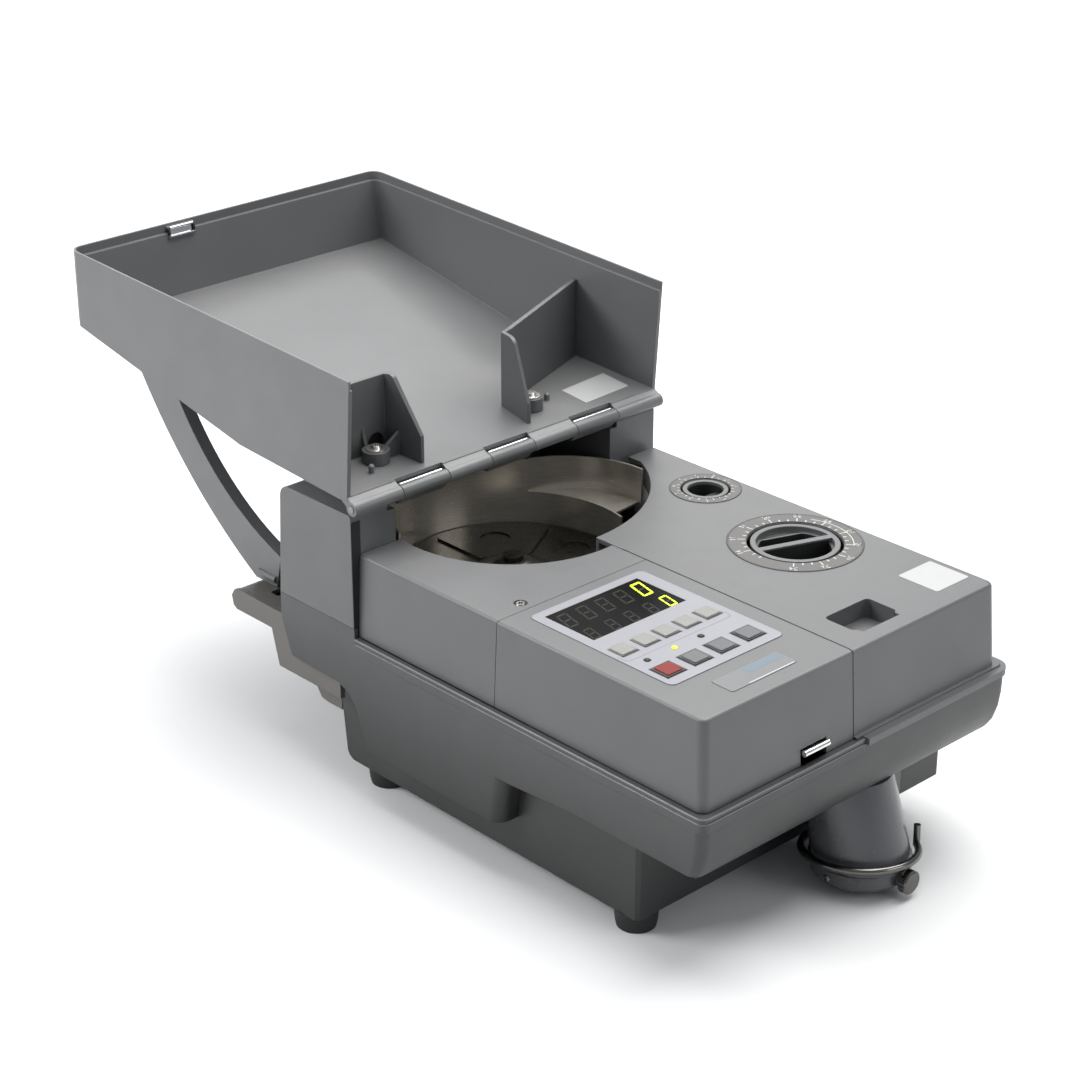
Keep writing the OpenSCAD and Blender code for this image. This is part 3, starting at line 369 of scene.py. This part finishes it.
def rrect(x0, y0, x1, y1, r, n=5):
    out = []
    for cx, cy, a in ((x1 - r, y0 + r, -90), (x1 - r, y1 - r, 0), (x0 + r, y1 - r, 90), (x0 + r, y0 + r, 180)):
        for i in range(n + 1):
            t = math.radians(a + 90 * i / n)
            out.append((cx + r * math.cos(t), cy + r * math.sin(t)))
    return out


def stroke(bm, path, w, z0, z1):
    """Thin printed line along a path, one closed slab per stretch."""
    for (ax, ay), (bx, by) in zip(path, path[1:]):
        d = math.hypot(bx - ax, by - ay)
        ux, uy = (bx - ax) / d, (by - ay) / d
        px, py = -uy * w / 2, ux * w / 2
        ax, ay, bx, by = ax - ux * w / 2, ay - uy * w / 2, bx + ux * w / 2, by + uy * w / 2
        prism(bm, [(ax - px, ay - py), (bx - px, by - py), (bx + px, by + py), (ax + px, ay + py)], z0, z1)


# seven-segment digits, leaning with the display: u across, v up
SEGS = {
    "a": [(0.10, 1.0), (0.90, 1.0), (0.78, 0.90), (0.22, 0.90)],
    "b": [(0.94, 0.97), (0.94, 0.53), (0.86, 0.50), (0.80, 0.55), (0.80, 0.87)],
    "c": [(0.94, 0.47), (0.94, 0.03), (0.80, 0.13), (0.80, 0.45), (0.86, 0.50)],
    "d": [(0.10, 0.0), (0.22, 0.10), (0.78, 0.10), (0.90, 0.0)],
    "e": [(0.06, 0.47), (0.14, 0.50), (0.20, 0.45), (0.20, 0.13), (0.06, 0.03)],
    "f": [(0.06, 0.97), (0.20, 0.87), (0.20, 0.55), (0.14, 0.50), (0.06, 0.53)],
    "g": [(0.20, 0.50), (0.28, 0.55), (0.72, 0.55), (0.80, 0.50), (0.72, 0.45), (0.28, 0.45)],
}
CASE_TOP = 48.8
WIN = CASE_TOP + 0.3
bm_dim, bm_lit = bmesh.new(), bmesh.new()
for row, (y0, y1, w, lean, xs) in enumerate(((113.4, 128.0, 8.2, 3.4, (26.6, 40.0, 53.2, 66.6, 79.9)),
                                             (96.0, 107.4, 6.4, 2.2, (25.5, 40.2, 53.7, 67.7, 80.2)))):
    for k, x in enumerate(xs):
        for seg, out in SEGS.items():
            pts = [(x - w / 2 - lean / 2 + u * w + v * lean, y0 + v * (y1 - y0)) for u, v in out]
            on = k == 4 and seg != "g"
            prism(bm_lit if on else bm_dim, pts, WIN - 0.05, WIN + 0.06)
piece("display_digits_dim", bm_dim, SEG_DIM, "chassis")
piece("display_digits_lit", bm_lit, SEG_LIT, "chassis")

# three lamp domes, the middle one lit
for k, x in enumerate((25.2, 44.6, 63.5)):
    bm = bmesh.new()
    rings = []
    for r, z in ((1.62, 48.9), (1.62, 49.42), (1.5, 49.62), (1.15, 49.82), (0.6, 49.94)):
        rings.append([bm.verts.new(M(x + r * math.cos(math.tau * i / 20), 62.3 + r * math.sin(math.tau * i / 20), z)) for i in range(20)])
    for p, q in zip(rings, rings[1:]):
        for i in range(20):
            bm.faces.new((p[i], p[(i + 1) % 20], q[(i + 1) % 20], q[i]))
    bm.faces.new(rings[0][::-1])
    bm.faces.new(rings[-1])
    piece("lamp_dome_%d" % (k + 1), bm, LAMP_LIT if k == 1 else BLACK, "chassis", 40)

# printed outline and lamp rims on the film, and painted shadows round the keys
OV = CASE_TOP + 0.35
bm = bmesh.new()
stroke(bm, [(16.6, 74.5), (16.6, 70.2), (17.3, 68.2), (19.2, 67.3), (89.2, 67.1), (91.2, 68.0), (92.0, 70.0), (92.0, 73.0), (91.0, 75.0)], 0.34, OV - 0.05, OV + 0.03)
piece("overlay_outline", bm, INK_GREY, "chassis")
bm = bmesh.new()
for x in (25.2, 63.5):
    band(bm, (x, 62.3), 1.5, 2.05, 0, 360, OV - 0.05, OV + 0.04, 32)
piece("lamp_rims", bm, BLACK, "chassis")
# painted shadow along the front and right of each upper key
bm = bmesh.new()
for x in (24.1, 39.6, 54.4, 69.3, 84.5):
    stroke(bm, [(x - 5.3, 72.4), (x + 5.9, 72.4), (x + 5.9, 78.5)], 0.5, OV - 0.05, OV + 0.03)
piece("key_painted_shadow", bm, DARK_INK_AND_SHADOW, "chassis")
# painted shadow: dark frames round the lower keys
bm = bmesh.new()
for x in (25.5, 44.5, 63.4, 83.1):
    stroke(bm, [(x - 6.95, 41.45), (x + 6.95, 41.45), (x + 6.95, 54.75), (x - 6.95, 54.75), (x - 6.95, 41.45)], 0.42, OV - 0.05, OV + 0.03)
piece("key_frame_painted_shadow", bm, DARK_INK_AND_SHADOW, "chassis")


def key_cap(name, x, y, w, d, mat, body, z=49.6):
    """Dished cap that sits on a key, smaller than the key so that the key's edge frames it."""
    bm = bmesh.new()
    rings = []
    for inset, h, r in ((0.0, -0.05, 0.9), (0.0, 0.35, 0.9), (0.22, 0.58, 0.8), (0.6, 0.66, 0.6), (1.6, 0.6, 0.5), (3.4, 0.54, 0.4)):
        out = rrect(x - w / 2 + inset, y - d / 2 + inset, x + w / 2 - inset, y + d / 2 - inset, r)
        rings.append([bm.verts.new(M(px, py, z + h)) for px, py in out])
    n = len(rings[0])
    for p, q in zip(rings, rings[1:]):
        for i in range(n):
            bm.faces.new((p[i], p[(i + 1) % n], q[(i + 1) % n], q[i]))
    bm.faces.new(rings[0][::-1])
    bm.faces.new(rings[-1])
    return piece(name, bm, mat, body, 35)


for k, x in enumerate((25.5, 44.5, 63.4, 83.1)):
    key_cap("key_low_cap_%d" % (k + 1), x, 48.1, 10.6, 10.2, MAT["key_red" if k == 0 else "key_grey"], "klow%d" % (k + 1))
    # painted shadow: the dark lower key body shows round its cap
    N["key_low_%d" % (k + 1)].data.materials[0] = MAT["dark_plastic"]
for k, x in enumerate((24.1, 39.6, 54.4, 69.3, 84.5)):
    key_cap("key_top_cap_%d" % (k + 1), x, 78.3, 10.0, 9.8, MAT["key_pale"], "ktop%d" % (k + 1))

# badge: blank silvered plate with a plain stripe and a bright lower edge
BT = CASE_TOP + 0.2
bm = bmesh.new()
prism(bm, [(52.5, 19.4), (76.8, 19.4), (77.2, 24.4), (52.5, 24.4)], BT - 0.05, BT + 0.04)
piece("badge_stripe", bm, STRIPE, "chassis")
bm = bmesh.new()
prism(bm, rrect(44.5, 11.25, 77.2, 12.15, 0.4, 3), BT - 0.05, BT + 0.06)
piece("badge_line", bm, BRIGHT, "chassis")

# blank labels
bm = bmesh.new()
prism(bm, rrect(190.5, 13.5, 217.0, 40.0, 1.2), CASE_TOP - 0.05, CASE_TOP + 0.12)
piece("cover_label", bm, LABEL, "lid")


def tray_floor(y):
    return 82.6 + 0.04364 * (y - 240)


bm = bmesh.new()
prism(bm, [(181.2, 288.0), (217.9, 291.0), (216.4, 268.1), (179.7, 266.0)], lambda x, y: tray_floor(y) - 0.05, lambda x, y: tray_floor(y) + 0.12)
piece("tray_label", bm, LABEL, "tray")

# dial scales: ticks, plain numbers, outline; the big dial's outline band is drawn wide as painted shadow
DIGITS = {
    "0": [[(0.1, 0.2), (0.1, 1.4), (0.3, 1.6), (0.7, 1.6), (0.9, 1.4), (0.9, 0.2), (0.7, 0), (0.3, 0), (0.1, 0.2)]],
    "1": [[(0.25, 1.25), (0.55, 1.6), (0.55, 0)]],
    "2": [[(0.1, 1.35), (0.3, 1.6), (0.7, 1.6), (0.9, 1.35), (0.9, 1.05), (0.1, 0), (0.9, 0)]],
    "3": [[(0.1, 1.6), (0.9, 1.6), (0.5, 0.95), (0.9, 0.6), (0.9, 0.25), (0.65, 0), (0.1, 0.05)]],
    "4": [[(0.7, 0), (0.7, 1.6), (0.1, 0.5), (0.95, 0.5)]],
    "5": [[(0.85, 1.6), (0.2, 1.6), (0.15, 0.9), (0.65, 0.95), (0.9, 0.65), (0.9, 0.3), (0.65, 0), (0.1, 0.05)]],
    "6": [[(0.8, 1.6), (0.3, 1.2), (0.1, 0.6), (0.15, 0.2), (0.4, 0), (0.75, 0.05), (0.9, 0.4), (0.75, 0.8), (0.3, 0.85)]],
    "7": [[(0.1, 1.6), (0.9, 1.6), (0.4, 0)]],
    "8": [[(0.5, 0.85), (0.15, 1.1), (0.2, 1.5), (0.5, 1.6), (0.8, 1.5), (0.85, 1.1), (0.5, 0.85), (0.1, 0.5), (0.15, 0.1), (0.5, 0), (0.85, 0.1), (0.9, 0.5), (0.5, 0.85)]],
    "9": [[(0.2, 0), (0.7, 0.4), (0.9, 1.0), (0.85, 1.4), (0.6, 1.6), (0.25, 1.55), (0.1, 1.2), (0.25, 0.8), (0.7, 0.75)]],
}


def number(bm, text, c, r, a, h, w, z0, z1):
    """Small number whose foot points at the dial centre."""
    k = h / 1.6
    adv = k * 1.25
    t = math.radians(a)
    rad = Vector((math.cos(t), math.sin(t)))
    tan = Vector((math.sin(t), -math.cos(t)))
    for i, ch in enumerate(text):
        off = (i - (len(text) - 1) / 2) * adv - k * 0.5
        for path in DIGITS[ch]:
            pts = []
            for u, v in path:
                p = Vector(c) + rad * (r + v * k) + tan * (off + u * k)
                pts.append((p.x, p.y))
            stroke(bm, pts, w, z0, z1)


ST = CASE_TOP + 0.25
big, sml = (182.3, 105.0), (199.3, 188.3)
bm = bmesh.new()
for i in range(36):
    a = -140 + i * 10
    if -150 < a < 190:
        long = i % 3 == 0
        t = math.radians(a)
        r0, r1 = 27.5, 31.2 if long else 28.9
        stroke(bm, [(big[0] + r0 * math.cos(t), big[1] + r0 * math.sin(t)), (big[0] + r1 * math.cos(t), big[1] + r1 * math.sin(t))], 0.55 if long else 0.7, ST - 0.04, ST + 0.05)
for i, txt in enumerate(("34", "32", "30", "28", "26", "24", "22", "20", "18", "16", "14")):
    number(bm, txt, big, 32.6, -140 + i * 30, 3.0, 0.5, ST - 0.04, ST + 0.05)
band(bm, big, 31.5, 31.95, -52, 26, ST - 0.04, ST + 0.04)
piece("diameter_scale_print", bm, INK_WHITE, "lid")
# outline rings; the big ring's dark band is widened as painted shadow along the ring's edge
bm = bmesh.new()
band(bm, big, 36.3, 37.15, 0, 360, ST - 0.04, ST + 0.05, 96)
band(bm, sml, 20.0, 20.45, 0, 360, ST - 0.04, ST + 0.05, 72)
piece("scale_outlines_and_painted_shadow", bm, DARK_INK_AND_SHADOW, "lid")
bm = bmesh.new()
for i in range(24):
    a = i * 15
    t = math.radians(a)
    r0, r1 = 15.0, 16.6 if i % 2 == 0 else 15.8
    stroke(bm, [(sml[0] + r0 * math.cos(t), sml[1] + r0 * math.sin(t)), (sml[0] + r1 * math.cos(t), sml[1] + r1 * math.sin(t))], 0.46, ST - 0.04, ST + 0.05)
for i in range(10):
    number(bm, str(i), sml, 17.2, -100 - i * 33, 2.1, 0.42, ST - 0.04, ST + 0.05)
piece("thickness_scale_print", bm, INK_WHITE, "lid")

# painted shade: black liners in the dial pockets
DZ = 36.0


def turned(pts, c, deg):
    t = math.radians(deg)
    return [(c[0] + x * math.cos(t) - y * math.sin(t), c[1] + x * math.sin(t) + y * math.cos(t)) for x, y in pts]


def arc_y(r, y0, y1, n=8):
    a0, a1 = math.asin(y0 / r), math.asin(y1 / r)
    return [(r * math.cos(a0 + (a1 - a0) * i / n), r * math.sin(a0 + (a1 - a0) * i / n)) for i in range(n + 1)]


bm = bmesh.new()
for half in (0, 180):
    rt = half - 20
    right = arc_y(19.9, 2.2, 15.4)
    left = [(-x, y) for x, y in right[::-1]]
    prism(bm, turned(right + left, big, rt), DZ - 0.04, DZ + 0.12)
    for sgn in (1, -1):
        outer = [(sgn * x, y) for x, y in arc_y(20.06, 2.2, 15.4)]
        inner = [(sgn * x, y) for x, y in arc_y(19.9, 2.2, 15.4)]
        prism(bm, turned(outer + inner[::-1], big, rt), DZ, 45.2)
    prism(bm, turned([(-12.4, 15.42), (12.4, 15.42), (12.4, 15.56), (-12.4, 15.56)], big, rt), DZ, 45.2)
    prism(bm, turned([(-19.7, 2.03), (19.7, 2.03), (19.7, 2.16), (-19.7, 2.16)], big, rt), DZ, 47.6)
    far = arc_y(21.3, 16.9, 21.2, 8)
    prism(bm, turned(far + [(-x, y) for x, y in far[::-1]], big, rt), 45.36, 45.5)
piece("diameter_dial_painted_shade", bm, BLACK, "diameter_knob")
bm = bmesh.new()
prism(bm, [(sml[0] + 10.3 * math.cos(math.tau * i / 48), sml[1] + 10.3 * math.sin(math.tau * i / 48)) for i in range(48)], 36.96, 37.12)
band(bm, sml, 10.22, 10.36, 0, 360, 37.0, 46.8, 48)
prism(bm, [(sml[0] - 9.95, sml[1] - 1.55), (sml[0] + 9.95, sml[1] - 1.55), (sml[0] + 9.95, sml[1] + 1.55), (sml[0] - 9.95, sml[1] + 1.55)], 37.0, 43.15)
piece("thickness_dial_painted_shade", bm, BLACK, "thickness_knob")

# ---------------------------------------------------------------- hinge strips, catch, shadow gaps


def along_x(bm, x0, x1, pts):
    """Closed bar with an outline in machine Y,Z, drawn out along X."""
    a = [bm.verts.new(M(x0, y, z)) for y, z in pts]
    b = [bm.verts.new(M(x1, y, z)) for y, z in pts]
    bm.faces.new(a)
    bm.faces.new(b[::-1])
    n = len(pts)
    for i in range(n):
        k = (i + 1) % n
        bm.faces.new((a[i], b[i], b[k], a[k]))


def along_y(bm, y0, y1, pts):
    """Closed plate with an outline in machine X,Z, drawn out along Y."""
    a = [bm.verts.new(M(x, y0, z)) for x, z in pts]
    b = [bm.verts.new(M(x, y1, z)) for x, z in pts]
    bm.faces.new(a)
    bm.faces.new(b[::-1])
    n = len(pts)
    for i in range(n):
        k = (i + 1) % n
        bm.faces.new((a[i], b[i], b[k], a[k]))


def arc_pts(cx, cz, r, a0, a1, n):
    return [(cx + r * math.cos(math.radians(a0 + (a1 - a0) * i / n)), cz + r * math.sin(math.radians(a0 + (a1 - a0) * i / n))) for i in range(n + 1)]


bm = bmesh.new()
for a, b in ((28.2, 61.2), (92.6, 124.7), (157.9, 190.3)):
    along_x(bm, a + 1.6, b - 1.6, [(255.0, 80.62), (255.0, 80.95), (255.2, 81.15), (255.7, 81.22), (256.4, 81.15), (256.9, 80.95), (256.9, 80.5)])
piece("hinge_strips", bm, CLIP, "chassis", 40)

# sprung catch on the rear rim: rolled upper lip, plate, folded lower lip, and black ends as painted shade
bm = bmesh.new()
along_x(bm, 63.9, 80.5, arc_pts(505.9, 157.9, 0.85, 0, 330, 14))
along_x(bm, 63.9, 80.5, [(506.3, 153.2), (505.9, 153.2), (506.7, 157.3), (507.2, 157.3)])
along_x(bm, 63.9, 80.5, [(504.5, 152.6), (504.3, 152.9), (504.5, 153.3), (506.2, 153.5), (506.2, 153.2), (504.8, 152.9)])
piece("rim_catch", bm, CLIP, "tray", 40)
bm = bmesh.new()
for a, b in ((62.7, 63.8), (80.6, 81.7)):
    along_x(bm, a, b, [(505.0, 153.25), (504.8, 155.2), (505.4, 157.15), (507.3, 157.15), (506.4, 153.25)])
piece("rim_catch_painted_shade_ends", bm, BLACK, "tray")

# painted shade: black backs in the arched recess of the left guide and in the gap between the case and the left tower
bm = bmesh.new()
along_y(bm, 292.55, 292.84, [(38.0, 85.3), (48.8, 85.3)] + arc_pts(43.4, 90.4, 5.4, 0, 180, 16))
piece("guide_recess_painted_shade", bm, BLACK, "tray")
bm = bmesh.new()
along_y(bm, 254.74, 254.9, [(-5.2, 5.8), (-0.2, 5.8), (0.6, 40.0), (0.9, 48.0), (0.9, 68.6), (-4.6, 68.6), (-5.2, 67.8)])
piece("tower_gap_painted_shade", bm, BLACK, "chassis")

# painted highlight on the ledge bead: two fine rounded lips in lighter plastic round the left side and the front
run = [(-6.0, 253.8, -1.0, 0.0), (-6.0, 120.0, -1.0, 0.0)]
for i in range(13):
    t = math.radians(180 + 90 * i / 12)
    run.append((-1 + 5 * math.cos(t), -2.4 + 5 * math.sin(t), math.cos(t), math.sin(t)))
run += [(60.0, -7.4, 0.0, -1.0), (112.0, -7.4, 0.0, -1.0)]
for name, sect in (("ledge_lip_top", [(-0.5, -0.9), (0.1, -1.0), (0.22, -0.72), (0.16, -0.42), (-0.04, -0.22), (-0.5, -0.2)]),
                   ("ledge_lip_low", [(-0.3, -3.75), (0.06, -3.75), (0.2, -3.5), (0.15, -3.24), (0.0, -3.08), (-0.3, -3.08)])):
    bm = bmesh.new()
    rings = [[bm.verts.new(M(x + nx * o, y + ny * o, z)) for o, z in sect] for x, y, nx, ny in run]
    bm.faces.new(rings[0])
    bm.faces.new(rings[-1][::-1])
    for a, b in zip(rings, rings[1:]):
        for i in range(len(sect)):
            k = (i + 1) % len(sect)
            bm.faces.new((a[i], b[i], b[k], a[k]))
    bmesh.ops.recalc_face_normals(bm, faces=bm.faces[:])
    piece(name, bm, LEDGE_HIGHLIGHT, "chassis", 40)

# painted shade: dark edge of the lift-up cover along the seam
bm = bmesh.new()
along_x(bm, 107.64, 107.93, [(-3.25, 1.6), (0.15, 46.4), (0.9, 47.9), (2.2, 48.6), (164.0, 48.6), (164.0, 46.2), (3.2, 46.2), (-0.9, 1.6)])
prism(bm, [(107.9, 2.6), (108.3, 2.6), (108.3, 163.4), (107.9, 163.4)], CASE_TOP - 0.1, CASE_TOP + 0.03)
piece("cover_seam_painted_shade", bm, BLACK, "lid")

# ---------------------------------------------------------------- floor
fm = bpy.data.meshes.new("floor")
bm = bmesh.new()
bmesh.ops.create_grid(bm, x_segments=2, y_segments=2, size=5.0)
bm.to_mesh(fm)
bm.free()
floor = bpy.data.objects.new("floor", fm)
SC.collection.objects.link(floor)
floor.location = (0, 0, -0.0002)
fmat, fnt, fb = new_mat("floor_paper")
fv = coords(fnt)
fnt.links.new(ramp(fnt, noise(fnt, fv, 2.0, 3), [(0.3, (0.60, 0.60, 0.60)), (0.7, (0.62, 0.62, 0.62))]), fb.inputs["Base Color"])
fb.inputs["Roughness"].default_value = 0.9
fb.inputs["Specular IOR Level"].default_value = 0.1
fm.materials.append(fmat)
